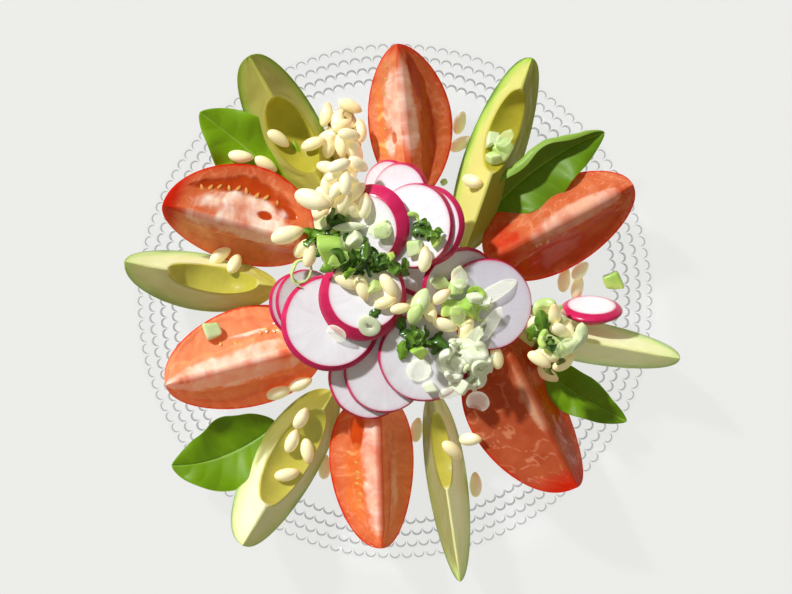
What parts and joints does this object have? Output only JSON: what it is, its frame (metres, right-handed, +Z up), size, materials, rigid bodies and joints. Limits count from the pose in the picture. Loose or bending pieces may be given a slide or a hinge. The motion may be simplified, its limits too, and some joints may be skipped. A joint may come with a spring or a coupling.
{
  "type": "plate of tomato avocado salad",
  "caption": "Clear glass plate of salad: tomato and avocado wedges in a ring, basil leaves, radish slices, pine nuts and spring onion.",
  "frame": {"origin": "centre of the plate's foot, on the surface that it stands on", "axes": "+Z up; +X to the right and +Y away from the viewer, as the plate lies in the picture"},
  "size_m": [0.2525, 0.25, 0.0531],
  "materials": {
    "glass_plate": "clear pressed glass",
    "tomato": "wet flesh and glossy skin",
    "avocado": "soft flesh, satin",
    "basil": "leaf, satin",
    "radish": "wet flesh",
    "radish_skin": "glossy skin",
    "nuts": "smooth, satin",
    "greens": "wet stem"
  },
  "bodies": {
    "root": {"plate": "glass_plate", "tomato_wedge_1": "tomato", "tomato_wedge_2": "tomato", "tomato_wedge_3": "tomato", "tomato_wedge_4": "tomato", "tomato_wedge_5": "tomato", "tomato_wedge_6": "tomato", "avocado_wedge_1": "avocado", "avocado_wedge_2": "avocado", "avocado_wedge_3": "avocado", "avocado_wedge_4": "avocado", "avocado_wedge_5": "avocado", "avocado_wedge_6": "avocado", "basil_leaf_1": "basil", "basil_leaf_2": "basil", "basil_leaf_3": "basil", "basil_leaf_4": "basil", "radish_pile": "radish", "radish_slice_01": "radish", "radish_slice_02": "radish", "radish_slice_03": "radish", "radish_slice_04": "radish", "radish_slice_05": "radish", "radish_slice_06": "radish", "radish_slice_07": "radish", "radish_slice_08": "radish", "radish_slice_09": "radish", "radish_slice_10": "radish", "radish_slice_11": "radish", "radish_slice_12": "radish", "radish_slice_13": "radish", "radish_slice_14": "radish", "radish_slice_15": "radish", "radish_end_cut": "radish_skin", "nut_heap": "nuts", "herb_heap": "greens", "onion_heap": "greens", "side_heap": "greens"}
  },
  "joints": []
}
